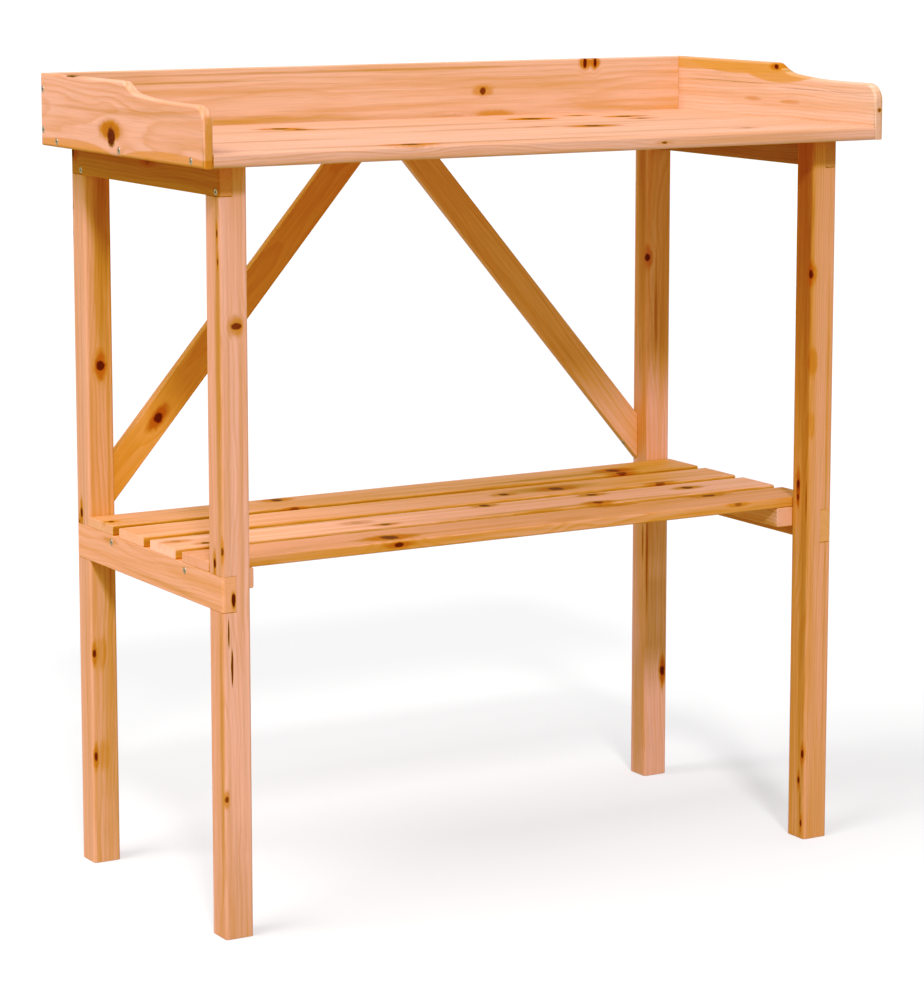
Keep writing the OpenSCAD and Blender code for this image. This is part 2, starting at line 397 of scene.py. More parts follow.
# Early wood, late wood, heartwood and resin streaks, as shares of a timber's own average colour; the streak
# colour also paints shade on some timbers
EARLY_SHARE = (1.06, 1.10, 1.18)
LATE_SHARE = (0.88, 0.76, 0.58)
HEART_SHARE = (0.86, 0.68, 0.40)
STREAK_SHARE = (0.56, 0.43, 0.20)
END_SHARE = (0.95, 0.93, 0.90)
KNOT_CORE = (0.072, 0.016, 0.005)
KNOT_RIM = (0.18, 0.043, 0.009)
KNOT_STAIN = (0.48, 0.128, 0.020)

# Cycles of noise in a millimetre, along the grain and square to it
KNOT_NOISE = (0.16, 0.16)
PITH_NOISE = (0.0032, 0.010)
RIPPLE_NOISE = (0.025, 0.22)
FIBRE_NOISE = (0.020, 1.3)
BAND_NOISE = (0.0035, 0.11)
FLECK_NOISE = (0.09, 1.9)

# Where each mark starts and where it has its full strength. A mark is measured in its own sizes.
HEART_EDGE = (1.04, 0.96)
STREAK_EDGE = (1.3, 0.3)
HALO_EDGE = (2.3, 0.9)
CORE_EDGE = (1.22, 0.66)
RIM_OUTER_EDGE = (1.16, 1.0)
RIM_INNER_EDGE = (0.84, 0.98)
CRACK_EDGE = (1.1, 0.4)
BAND_EDGE = (0.40, 0.68)
FLECK_EDGE = (0.70, 0.78)
END_EDGE = (0.75, 0.97)
JOINT_EDGE = (0.35, 0.05)  # millimetres from the joint between two staves

# Weights of the three directions: along, across and through the timber
EVEN_WEIGHTS = (1.0, 1.0, 1.0)
PUSH_WEIGHTS = (0.10, 0.16, 0.16)
FLAME_WEIGHTS = (0.22, 1.0, 1.0)

# How far each irregularity reaches to either side, in millimetres or in a mark's own sizes
RING_RIPPLE = 0.8
CRACK_RIPPLE = 1.5
STAVE_SHIFT = 25.0
KNOT_WOBBLE = 0.35
FIBRE_RAG = 0.4
RIPPLE_RAG = 0.3
HEART_RAG = 0.12  # share of the ragged edge that the hearts have

# Strengths, from 0 to 1
KNOT_PUSH = 0.85
LATE_LEAST, LATE_SPREAD = 0.30, 0.55
END_CALM = 0.6  # how much less late wood shows on end grain
END_SMOOTH = 0.7  # how much less banding and fibre show on end grain
FIBRE_TONE = 0.55
FLECK_TONE = 0.35
JOINT_TONE = 0.30
KNOT_WAVE = 0.3

# Late wood through one year's ring, and the tone of the fibres
YEAR_STOPS = [(0.0, 0.30), (0.12, 0.0), (0.45, 0.12), (0.82, 0.85), (0.93, 1.0), (1.0, 0.35)]
TONE_STOPS = [(0.25, 0.72), (0.5, 1.0), (0.75, 1.12)]
KNOT_RINGS = 15.0  # radians of ring pattern from a knot's middle to its edge

# Relief, as shares of the bump's depth, and gloss
FIBRE_RELIEF, LATE_RELIEF, RIM_RELIEF = 0.6, 0.35, 0.9
BUMP_STRENGTH = 0.35
BUMP_DEPTH = 0.25 * MM
ROUGHNESS, FIBRE_ROUGHNESS, LATE_ROUGHNESS = 0.52, 0.16, -0.06
SPECULAR = 0.18

# Steps between the parts of the noise that different timbers and staves take
SEED_STEP = 7.31
STAVE_STEP = 90.0
PITH_OFFSET = 3.7


class Net:
    """Adds nodes to one material. node, noise and random return the node, the rest an output socket."""

    def __init__(self, name):
        self.material = bpy.data.materials.new(name)
        self.material.use_nodes = True
        self.tree = self.material.node_tree
        self.tree.nodes.clear()

    def node(self, kind, inputs, **settings):
        made = self.tree.nodes.new(kind)
        for key, value in settings.items():
            setattr(made, key, value)
        for key, value in inputs.items():
            if isinstance(value, bpy.types.NodeSocket):
                self.tree.links.new(value, made.inputs[key])
            else:
                made.inputs[key].default_value = value
        return made

    def math(self, operation, *values):
        return self.node("ShaderNodeMath", dict(enumerate(values)), operation=operation).outputs[0]

    def add(self, a, b):
        return self.math("ADD", a, b)

    def sub(self, a, b):
        return self.math("SUBTRACT", a, b)

    def mul(self, a, b):
        return self.math("MULTIPLY", a, b)

    def scaled(self, value, factor, offset=0.0):
        return self.math("MULTIPLY_ADD", value, factor, offset)

    def centred(self, value, reach):
        """A value from 0 to 1 spread out from -reach to reach."""
        return self.scaled(value, 2 * reach, -reach)

    def vector(self, x, y, z):
        return self.node("ShaderNodeCombineXYZ", {0: x, 1: y, 2: z}).outputs[0]

    def noise(self, place, cycles, lead=0.0, detail=2.0, roughness=0.5, offset=0.0):
        """Noise drawn out along the grain. lead and offset say which part of it this timber takes."""
        along, square = cycles
        vector = self.vector(self.scaled(place[0], along, lead), self.scaled(place[1], square),
                             self.scaled(place[2], square, offset))
        return self.node("ShaderNodeTexNoise", {"Vector": vector, "Scale": 1.0, "Detail": detail,
                                                "Roughness": roughness, "Distortion": 0.0})

    def random(self, value):
        """Random numbers that stay the same for one value."""
        return self.node("ShaderNodeTexWhiteNoise", {"W": value}, noise_dimensions="1D")

    def turned(self, vector, angle, centre=None):
        """The vector turned about Y, or itself where there is no turn."""
        if not angle:
            return vector
        inputs = {"Vector": vector, "Angle": angle}
        if centre is not None:
            inputs["Center"] = tuple(centre)
        return self.node("ShaderNodeVectorRotate", inputs, rotation_type="Y_AXIS").outputs[0]

    def step(self, value, low, high):
        """0 at low and 1 at high, smooth between them."""
        return self.node("ShaderNodeMapRange", {0: value, 1: low, 2: high, 3: 0.0, 4: 1.0},
                         interpolation_type="SMOOTHSTEP").outputs[0]

    def ramp(self, value, stops):
        """A grey ramp through (position, grey) stops."""
        made = self.node("ShaderNodeValToRGB", {0: value})
        elements = made.color_ramp.elements
        while len(elements) < len(stops):
            elements.new(1.0)
        for element, (at, grey) in zip(elements, stops):
            element.position = at
            element.color = (grey, grey, grey, 1.0)
        return made.outputs[0]

    def mix(self, factor, a, b, blend="MIX"):
        a, b = [(*v, 1.0) if isinstance(v, tuple) else v for v in (a, b)]
        made = self.node("ShaderNodeMix", {0: factor, 6: a, 7: b}, data_type="RGBA", blend_type=blend)
        return made.outputs[2]


def coordinates(net, middle, axes, turn):
    """The place along the grain, across the face and through the thickness, in millimetres from the
    middle."""
    place = net.turned(net.node("ShaderNodeTexCoord", {}).outputs["Object"], turn, middle)
    split = net.node("ShaderNodeSeparateXYZ", {0: place})
    order = ["xyz".index(a) for a in axes]
    return [net.scaled(split.outputs[i], 1 / MM, -middle[i] / MM) for i in order]


def distance(net, place, at, size, weights=EVEN_WEIGHTS):
    """How far a point is from a spot, in the spot's own sizes: each way, and the weighted square of it
    all. A size of 0 leaves that way out, for what runs right through a board."""
    ways, square = [], None
    for value, centre, radius, weight in zip(place, at, size, weights):
        way = net.scaled(value, 1 / radius, -centre / radius) if radius else None
        ways.append(way)
        if way is not None:
            part = net.mul(net.mul(way, way), weight)
            square = part if square is None else net.add(square, part)
    return ways, square


def away(net, place, at, size, weights=EVEN_WEIGHTS):
    """The plain distance from a spot, in the spot's own sizes."""
    return net.math("SQRT", distance(net, place, at, size, weights)[1])


def split_staves(net, across, staves, shift):
    """Cuts a glued panel into staves: each one's own lead along the grain, its own place across it, and
    where the glued joints are."""
    index = net.math("FLOOR", net.scaled(across, 1 / staves, 0.5))
    local = net.sub(across, net.mul(index, staves))
    draw = net.node("ShaderNodeSeparateColor", {0: net.random(net.add(index, shift)).outputs["Color"]})
    lead = net.scaled(draw.outputs[0], STAVE_STEP, shift)
    own_across = net.add(local, net.centred(draw.outputs[1], STAVE_SHIFT))
    joint = net.step(net.math("ABSOLUTE", local), *[staves / 2 - edge for edge in JOINT_EDGE])
    return lead, own_across, joint


def push_aside(net, place, across, through, knots):
    """Moves the grain aside where the knots are."""
    for at, size, _, _ in knots:
        ways, square = distance(net, place, at, size, PUSH_WEIGHTS)
        fade = net.scaled(net.math("EXPONENT", net.mul(square, -1.0)), KNOT_PUSH)
        across = net.sub(across, net.mul(net.mul(ways[1], fade), size[1]))
        if size[2]:
            through = net.sub(through, net.mul(net.mul(ways[2], fade), size[2]))
    return across, through


def end_grain(net, grain, turn):
    """1 on the faces that are square to the grain."""
    facing = net.turned(net.node("ShaderNodeTexCoord", {}).outputs["Normal"], turn)
    parts = net.node("ShaderNodeSeparateXYZ", {0: facing})
    return net.step(net.math("ABSOLUTE", parts.outputs["xyz".index(grain)]), *END_EDGE)


def pith_distance(net, place, across, through, lead, pith, wander):
    """How far a point is from the tree's heart, which wanders along the length."""
    slow = net.noise(place, PITH_NOISE, lead, offset=PITH_OFFSET).outputs["Color"]
    drift = net.node("ShaderNodeSeparateColor", {0: slow})
    pith_across, pith_through, drift_across, drift_through = pith
    a = net.add(net.sub(across, pith_across), net.centred(drift.outputs[0], wander))
    a = net.add(a, net.scaled(place[0], drift_across * MM))
    b = net.add(net.sub(through, pith_through), net.centred(drift.outputs[1], wander))
    b = net.add(b, net.scaled(place[0], drift_through * MM))
    return net.math("SQRT", net.add(net.mul(a, a), net.mul(b, b)))


def fir(name, middle, axes, tint, seed, pith, knots=(), hearts=(), streaks=(), cracks=(), spacing=3.4,
        wander=16.0, turn=0.0, staves=0.0, contrast=1.0, banding=0.55, end_share=END_SHARE):
    """One timber's wood. axes names the grain, face and thickness directions; pith is where the tree's
    heart lies across and through the board, with its drift in millimetres per metre of length. Knots are
    (place, size, core, stain), and hearts, streaks and cracks (place, size, strength), in millimetres
    along, across and through the timber from its middle."""
    early, late, heartwood, resin_and_shade = [tuple(t * share for t, share in zip(tint, shares))
                                     for shares in (EARLY_SHARE, LATE_SHARE, HEART_SHARE, STREAK_SHARE)]
    net = Net(name)
    along, across, through = place = coordinates(net, middle, axes, turn)
    shift = float(seed) * SEED_STEP
    lead, own_across, joint = shift, across, None
    if staves:
        lead, own_across, joint = split_staves(net, across, staves, shift)
    wobble = net.centred(net.noise(place, KNOT_NOISE, shift).outputs["Fac"], KNOT_WOBBLE)
    own_across, own_through = push_aside(net, place, own_across, through, knots)
    end = end_grain(net, axes[0], turn)
    sides = net.scaled(end, -END_SMOOTH, 1.0)

    # Growth rings
    ripple = net.noise(place, RIPPLE_NOISE, lead, 3.0).outputs["Fac"]
    radius = pith_distance(net, place, own_across, own_through, lead, pith, wander)
    ring = net.scaled(net.add(radius, net.centred(ripple, RING_RIPPLE)), 1 / spacing)
    strength = net.random(net.add(net.math("FLOOR", ring), shift)).outputs["Value"]
    late_band = net.ramp(net.math("FRACT", ring), YEAR_STOPS)
    late_amount = net.mul(late_band, net.scaled(strength, LATE_SPREAD * contrast, LATE_LEAST * contrast))
    late_amount = net.mul(late_amount, net.scaled(end, -END_CALM, 1.0))

    # Fibres, resin flecks and slow changes of tone along the board
    fibre = net.noise(place, FIBRE_NOISE, lead, 4.0, 0.62).outputs["Fac"]
    band = net.noise(place, BAND_NOISE, lead, 3.0).outputs["Fac"]
    fleck = net.noise(place, FLECK_NOISE, lead, 1.0).outputs["Fac"]
    colour = net.mix(late_amount, early, late)
    colour = net.mix(net.mul(net.mul(net.step(band, *BAND_EDGE), banding), sides), colour, late)
    ragged = net.add(net.centred(fibre, FIBRE_RAG), net.centred(ripple, RIPPLE_RAG))
    for at, size, amount in hearts:
        out = net.add(away(net, place, at, size), net.mul(ragged, HEART_RAG))
        colour = net.mix(net.mul(net.step(out, *HEART_EDGE), amount), colour, heartwood)
    colour = net.mix(net.mul(sides, FIBRE_TONE), colour, net.ramp(fibre, TONE_STOPS), "MULTIPLY")
    colour = net.mix(net.mul(net.step(fleck, *FLECK_EDGE), FLECK_TONE), colour, late)
    height = net.add(net.scaled(fibre, FIBRE_RELIEF), net.scaled(late_band, LATE_RELIEF))
    # Streaks: resin, and on some timbers painted shade in the same colour
    for at, size, amount in streaks:
        out = net.add(away(net, place, at, size), ragged)
        colour = net.mix(net.mul(net.step(out, *STREAK_EDGE), amount), colour, resin_and_shade)

    # Knots: a flame of stained wood along the grain, round a dark core with its own fine rings
    for at, size, core, stain in knots:
        halo = net.step(net.add(away(net, place, at, size, FLAME_WEIGHTS), wobble), *HALO_EDGE)
        colour = net.mix(net.mul(net.mul(halo, halo), stain), colour, KNOT_STAIN)
        if core:
            out = net.add(away(net, place, at, size), wobble)
            wave = net.math("SINE", net.scaled(out, KNOT_RINGS))
            dark = net.mix(net.scaled(wave, KNOT_WAVE, KNOT_WAVE), KNOT_CORE, KNOT_RIM)
            colour = net.mix(net.mul(net.step(out, *CORE_EDGE), core), colour, dark)
            rim = net.mul(net.step(out, *RIM_INNER_EDGE), net.step(out, *RIM_OUTER_EDGE))
            height = net.sub(height, net.scaled(rim, RIM_RELIEF * core))
    for at, size, amount in cracks:
        waved = (along, net.add(across, net.centred(ripple, CRACK_RIPPLE)), through)
        line = net.mul(net.step(distance(net, waved, at, size)[1], *CRACK_EDGE), amount)
        colour = net.mix(line, colour, KNOT_CORE)
        height = net.sub(height, line)
    if joint is not None:
        colour = net.mix(net.mul(joint, JOINT_TONE), colour, late)

    # End grain takes the oil differently. On the top rails end_share is above 1, lifting the end faces out
    # of the painted shade in the rails' tint.
    colour = net.mix(end, colour, end_share, "MULTIPLY")

    roughness = net.scaled(fibre, FIBRE_ROUGHNESS, ROUGHNESS)
    roughness = net.add(roughness, net.scaled(late_amount, LATE_ROUGHNESS))
    bump = net.node("ShaderNodeBump", {
        "Strength": BUMP_STRENGTH, "Distance": BUMP_DEPTH, "Height": height}).outputs[0]
    shader = net.node("ShaderNodeBsdfPrincipled", {
        "Base Color": colour, "Roughness": roughness, "Normal": bump, "Specular IOR Level": SPECULAR})
    net.node("ShaderNodeOutputMaterial", {"Surface": shader.outputs[0]})
    return net.material


ZINC_DARK = (0.40, 0.33, 0.24)
ZINC_PALE = (0.64, 0.55, 0.42)
ZINC_GRAIN = 900.0  # cycles in a metre
ZINC_ROUGHNESS, ZINC_ROUGHNESS_SPREAD = 0.30, 0.25
ZINC_BUMP_STRENGTH = 0.3
ZINC_BUMP_DEPTH = 0.05 * MM


def zinc():
    """Yellow zinc on the screws, with fine crystals."""
    net = Net("zinc")
    place = net.node("ShaderNodeTexCoord", {}).outputs["Object"]
    crystals = net.node("ShaderNodeTexNoise", {
        "Vector": place, "Scale": ZINC_GRAIN, "Detail": 3.0}).outputs["Fac"]
    colour = net.mix(crystals, ZINC_DARK, ZINC_PALE)
    roughness = net.scaled(crystals, ZINC_ROUGHNESS_SPREAD, ZINC_ROUGHNESS)
    bump = net.node("ShaderNodeBump", {
        "Strength": ZINC_BUMP_STRENGTH, "Distance": ZINC_BUMP_DEPTH, "Height": crystals}).outputs[0]
    shader = net.node("ShaderNodeBsdfPrincipled", {
        "Base Color": colour, "Metallic": 1.0, "Roughness": roughness, "Normal": bump})
    net.node("ShaderNodeOutputMaterial", {"Surface": shader.outputs[0]})
    return net.material


# ---------------------------------------------------------------- putting pieces in place

SHARP_ANGLE = 32  # degrees
# Nearer the middle than this, a brace's screw goes into the back board; farther out, into a leg.
BRACE_SPLIT = 100 * MM


def settle(piece, node, screws, material):
    """Drills a timber, gives it its wood and stands it in for its CAD node."""
    if screws:
        screw_holes(piece, screws)
    piece.data.materials.clear()
    piece.data.materials.append(material)
    for polygon in piece.data.polygons:
        polygon.use_smooth = True
    piece.data.set_sharp_from_angle(angle=math.radians(SHARP_ANGLE))
    weighted = piece.modifiers.new("normals", "WEIGHTED_NORMAL")
    weighted.keep_sharp = True
    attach(piece, "root")
    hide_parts(node)


def middle_of(node):
    low, high = node_box(node)
    return (low + high) / 2


board_screws = inward_screws("side_board_screws")
back_screws = inward_screws("back_board_screws")
rail_screws = inward_screws("rail_screws")
cleat_screws = inward_screws("cleat_screws")
worktop_screws = upward_screws("worktop_screws")
slat_screws = upward_screws("slat_screws")
diagonal_screws = brace_screws()

# Each leg's marks: its middle is 394 mm up, and its front and left faces lie at -FACE.
FACE = 15.75
LEGS = {
    "leg_front_left": dict(
        tint=(0.79, 0.385, 0.238), seed=3, pith=(34, 22, 10, -6), spacing=3.1, contrast=0.7,
        knots=[((234, 2, -FACE), (3.6, 5.6, 11), 0.85, 0.6),
               ((-6.6, -FACE, 1.6), (5.5, 7, 2.6), 1.0, 0.7), ((327, -FACE, -11), (4.5, 5, 1.5), 0.9, 0.6),
               ((299, -FACE, -12), (4, 5, 1.3), 0.9, 0.6), ((8, -FACE, -FACE + 1), (5, 1.8, 1.8), 0.8, 0.5),
               ((-247, -13.5, -FACE), (3.5, 2.2, 2.5), 0.8, 0.6)],
        # The last streak darkens the whole foot on every face: painted shade near the floor.
        streaks=[((200, -FACE, -10.5), (250, 3.5, 6), 0.7), ((-200, -FACE, -11), (190, 3.5, 5), 0.55),
                 ((0, 7, -FACE), (330, 1.8, 7), 0.22), ((120, -7, -FACE), (260, 1.4, 7), 0.18),
                 ((-16, -FACE, 3), (14, 5, 1.6), 0.8), ((-410, -4, -8), (150, 30, 30), 0.3)],
        hearts=[((0, -FACE, 0), (430, 3, 18), 0.35)],
        cracks=[((-76, -9.4, -FACE), (18, 0.8, 4), 0.9), ((-112, -6, -FACE), (22, 1.4, 4), 0.9)]),
    "leg_front_right": dict(
        tint=(0.685, 0.298, 0.155), seed=8, pith=(26, -24, -8, 9), spacing=3.3, contrast=0.75,
        knots=[((149, -13, -FACE), (5, 4.5, 4), 0.0, 0.5), ((77, -13, -FACE), (5, 3, 4), 0.0, 0.35),
               ((246, -FACE, -13), (5, 6, 2.6), 1.0, 0.9), ((8, -FACE, 4), (7, 8, 2.8), 1.0, 0.8),
               ((-5, -FACE, 4), (4, 6, 2.2), 0.8, 0.7), ((-296, -FACE, -11), (5, 6, 2.4), 1.0, 0.8),
               ((-327, -FACE, -5), (4, 5, 2.0), 0.9, 0.7), ((-376, -FACE, -10), (4, 5, 1.8), 0.9, 0.7)],
        # The second streak darkens the upper part of the inner left face: painted shade under the worktop.
        streaks=[((0, -FACE, -8), (420, 4, 8), 0.45), ((270, -FACE, 0), (230, 4, 20), 0.6),
                 ((-6, -FACE, -11.4), (24, 5, 2.2), 0.95),
                 ((-355, -FACE, -8), (26, 5, 1.4), 0.8), ((-60, 8, -FACE), (330, 2, 7), 0.25)]),
    "leg_rear_left": dict(
        tint=(0.73, 0.34, 0.18), seed=13, pith=(-30, 26, 7, 5), spacing=3.2, contrast=0.75,
        knots=[((157, 0.5, -FACE), (5.5, 5, 9), 1.0, 0.9), ((-159, -12, -FACE), (5, 2.2, 3), 0.9, 0.7),
               ((-274, -12, -FACE), (5, 2.2, 3), 0.9, 0.7), ((-5, -FACE, 3.3), (6, 7, 2.8), 1.0, 0.8),
               ((-17, -FACE, 9), (4, 5, 1.8), 0.7, 0.6), ((327, -FACE, 13), (4, 4, 1.4), 0.8, 0.5),
               ((298, -FACE, 13), (4, 4, 1.4), 0.8, 0.5), ((-159, -3, -FACE), (6, 4, 4), 0.0, 0.3),
               ((-274, -3, -FACE), (6, 4, 4), 0.0, 0.3)],
        # The second streak darkens the upper front face: painted shade under the worktop.
        streaks=[((60, 9, -FACE), (330, 2, 8), 0.3), ((290, 4, -FACE), (150, 10, 9), 0.6),
                 ((40, -FACE, -4), (340, 5, 2), 0.3), ((-230, 7, -FACE), (190, 11, 8), 0.3)]),
    "leg_rear_right": dict(
        tint=(0.79, 0.378, 0.245), seed=21, pith=(-26, 28, -9, -5), spacing=3.0, contrast=0.8,
        knots=[((-266, 9, -FACE), (6, 3.2, 7), 1.0, 0.9), ((236, -FACE + 1, -12), (5, 4, 4), 1.0, 0.5)],
        streaks=[((169, -4.7, -FACE), (62, 2.6, 7), 0.7), ((-125, -14.5, -FACE), (72, 1.4, 3), 0.95),
                 ((-107, -FACE, -7.8), (26, 5, 2.4), 0.9), ((-266, 9, -FACE), (28, 1.6, 5), 0.9),
                 # This streak and the last one darken the upper left and front faces: painted shade under
                 # the worktop.
                 ((270, -FACE, 0), (170, 6, 12), 0.55), ((-330, -FACE, 0), (90, 4, 14), 0.4),
                 ((260, 4, -FACE), (180, 18, 7), 0.25)]),
}


def make_legs():
    for name, wood in LEGS.items():
        side = -1 if name.endswith("left") else 1
        low, high = (LEG_LOW, LEG_HIGH) if "front" in name else (REAR_LOW, REAR_HIGH)
        leg = make_leg("timber_" + name, side, low, high)
        fixings = [s for s in on_side(rail_screws + diagonal_screws, side)
                   if low.y < s[0].y < high.y and abs(s[0].x) > BRACE_SPLIT]
        settle(leg, name, fixings, fir("fir_" + name, middle_of(name), "zxy", **wood))


def make_rails():
    woods = {
        # The top rails' tints are partly darker wood and partly painted shade, for the shade under the side
        # boards and the worktop; end_share above 1 brings their end faces back up to the lit tone.
        "top_rail_left": dict(
            tint=(0.56, 0.232, 0.075), seed=31, pith=(-40, 18, 6, 4), end_share=(1.25, 1.2, 2.0),
            knots=[((-14, 10, -7.5), (6, 4, 6), 0.35, 0.7), ((172, 8, -7.5), (5, 7, 5), 0.9, 0.8)]),
        "top_rail_right": dict(
            tint=(0.47, 0.255, 0.13), seed=34, pith=(38, -16, -6, 5), end_share=(1.25, 1.0, 1.1)),
        "shelf_rail_left": dict(
            tint=(0.80, 0.355, 0.175), seed=37, pith=(30, 24, 10, -8), contrast=0.7,
            knots=[((90, 12, -7.5), (6, 2, 5), 0.0, 0.4), ((-176.5, -6.2, 4.6), (10, 7.5, 2.2), 1.0, 0.4)],
            streaks=[((-60, -12, -7.5), (120, 3, 5), 0.35)]),
        "shelf_rail_right": dict(tint=(0.70, 0.32, 0.145), seed=41, pith=(-30, -22, 6, 6)),
    }
    for name, wood in woods.items():
        side = -1 if name.endswith("left") else 1
        top = name.startswith("top")
        low, high = (TOP_RAIL_LOW, TOP_RAIL_HIGH) if top else (SHELF_RAIL_LOW, SHELF_RAIL_HIGH)
        rail = make_rail("timber_" + name, side, low, high)
        fixings = rail_screws + worktop_screws if top else cleat_screws
        settle(rail, name, on_side(fixings, side),
               fir("fir_" + name, middle_of(name), "yzx", **wood))


def make_cleats():
    for word, side in (("left", -1), ("right", 1)):
        name = "shelf_cleat_" + word
        low, high = node_box(name)
        cleat = make_bar("timber_" + name, low, high, "y", [SLAT_R] * 4)
        wood = fir("fir_" + name, middle_of(name), "yxz", (0.80, 0.40, 0.24), 44 + side, (20, 30, 5, 8))
        settle(cleat, name, on_side(cleat_screws + slat_screws, side), wood)


def make_slats():
    rim = -30.75  # a slat's front edge, from its middle
    shared = dict(wander=12, banding=0.8, end_share=(1.12, 1.10, 1.12))
    # Painted shade: a dark band down the front face of each slat that stands behind a gap, where the gap is
    # in shade.
    painted_gap_shade = ((0, rim - 0.6, -1.5), (900, 1.6, 8), 1.0)
    woods = {
        "shelf_slat_front": dict(
            tint=(0.71, 0.315, 0.155), seed=51, pith=(46, -34, 10, 14),
            knots=[((-158, -11, 0), (10, 10.5, 0), 1.0, 1.0), ((-157.6, rim, 1), (6, 4, 2.4), 1.0, 0.9),
                   ((273, 25, 5.5), (9, 6, 6), 0.9, 0.8), ((274.5, rim, 4), (5, 2.5, 2.0), 0.5, 0.5),
                   ((150, 27, 5.5), (9, 5, 5), 0.15, 0.7), ((60, -18, 0), (9, 6, 0), 0.0, 0.3)],
            streaks=[((-158, -11, 5.5), (46, 9, 6), 0.8), ((60, rim, 0), (300, 5, 2.4), 0.12)]),
        "shelf_slat_front_middle": dict(
            tint=(0.88, 0.45, 0.26), seed=55, pith=(-44, -30, 12, -10),
            knots=[((143, -23, 5.5), (7, 6, 6), 0.8, 0.8), ((163, 20, 5.5), (7, 6, 6), 0.85, 0.7),
                   ((24, 23, 5.5), (6, 6.5, 6), 1.0, 0.7), ((282, 4, 5.5), (7, 7, 6), 0.95, 0.8),
                   ((-125, -20, 5.5), (6, 5.5, 5), 0.8, 0.7), ((-147, 4.5, 5.5), (7, 7, 5), 0.2, 0.5),
                   ((-359, 8, 5.5), (6, 6, 5), 0.3, 0.6), ((-337, -16, 5.5), (5, 5, 5), 0.9, 0.6)],
            streaks=[((90, -27, 5.5), (190, 4, 6), 0.75), ((-200, 26, 5.5), (170, 4, 6), 0.6), painted_gap_shade]),
        "shelf_slat_rear_middle": dict(
            tint=(0.80, 0.385, 0.19), seed=58, pith=(40, -36, -10, 12),
            knots=[((150, -2, 0), (9, 9, 0), 1.0, 1.0), ((79, -4, 0), (6, 6.5, 0), 1.0, 0.7),
                   ((273, rim, 5.5), (7, 5, 5), 0.6, 0.6)],
            streaks=[((143, 4, 5.5), (64, 17, 6), 0.85), ((273, -26, 5.5), (40, 4, 6), 0.5), painted_gap_shade]),
        "shelf_slat_rear": dict(
            tint=(0.70, 0.33, 0.147), seed=63, pith=(-36, -40, 9, 9),
            knots=[((-157, 18, 0), (7, 8, 0), 1.0, 0.8), ((273, -8, 0), (9, 9, 0), 0.9, 1.0),
                   ((272, -27, 5.5), (7, 5, 6), 0.8, 0.8), ((-370, -8, 5.5), (3.4, 4, 4), 1.0, 0.6),
                   ((-160, rim, 2), (6, 3, 4), 0.6, 0.7)],
            streaks=[((200, -14, 5.5), (120, 8, 6), 0.7), ((-250, 8, 5.5), (90, 5, 6), 0.4), painted_gap_shade]),
    }
    for name, wood in woods.items():
        low, high = node_box(name)
        slat = make_bar("timber_" + name, low, high, "x", [SLAT_R] * 4)
        fixings = [s for s in slat_screws if low.y < s[0].y < high.y]
        settle(slat, name, fixings,
               fir("fir_" + name, middle_of(name), "xyz", **wood, **shared))


def make_braces():
    slope = brace_slope()
    woods = {
        "brace_left": dict(
            tint=(0.75, 0.335, 0.14), seed=71, pith=(26, 30, 8, 8), turn=slope, contrast=0.6, banding=0.3,
            knots=[((-150, 17.5, 0), (6, 5.5, 0), 1.0, 0.9)]),
        "brace_right": dict(
            tint=(0.80, 0.41, 0.24), seed=76, pith=(-24, 34, 8, -8), turn=-slope, contrast=0.8, banding=0.4),
    }
    for name, wood in woods.items():
        side = -1 if name.endswith("left") else 1
        brace = make_brace("timber_" + name, side)
        wood = fir("fir_" + name, middle_of(name), "xzy", **wood)
        settle(brace, name, on_side(diagonal_screws, side), wood)


def make_worktop():
    top = make_bar("timber_worktop", TOP_LOW, TOP_HIGH, "x", [WORKTOP_R, 0, 0, WORKTOP_R], PANEL_EASE)
    knots = [((-177, 103, 0), (10, 10, 0), 1.0, 0.9), ((-164, 80, 0), (7, 8, 0), 0.95, 0.8),
             ((-174, -176, 7.5), (12, 9, 4), 1.0, 1.0), ((142, -26, 0), (11, 13, 0), 1.0, 1.0),
             ((148, 113, 0), (11, 13, 0), 1.0, 1.0), ((265, 99, 0), (10, 10, 0), 1.0, 0.9),
             ((263, 60, 0), (7, 7, 0), 0.95, 0.8), ((226, 138, 0), (7, 7, 0), 0.8, 0.7),
             ((266, -140, 0), (6, 6, 0), 0.7, 0.6), ((81, -9, 0), (6, 6, 0), 0.4, 0.5),
             ((125, -189.5, -0.5), (4, 5, 1.5), 0.75, 0.3)]
    streaks = [((-290, -195, -1), (190, 5, 7), 0.35), ((-120, -176, 7.5), (240, 10, 6), 0.7),
               ((60, -10, 7.5), (210, 10, 8), 0.6), ((-60, 70, 7.5), (260, 12, 8), 0.55),
               ((180, -120, 7.5), (220, 8, 8), 0.5), ((-280, -60, 7.5), (120, 10, 8), 0.5),
               ((250, 20, 7.5), (160, 9, 8), 0.45)]
    wood = fir("fir_worktop", middle_of("worktop"), "xyz", (0.74, 0.378, 0.236), 82, (10, -52, 6, 12),
               staves=94.75, banding=0.75, knots=knots, streaks=streaks)
    settle(top, "worktop", board_screws + worktop_screws, wood)


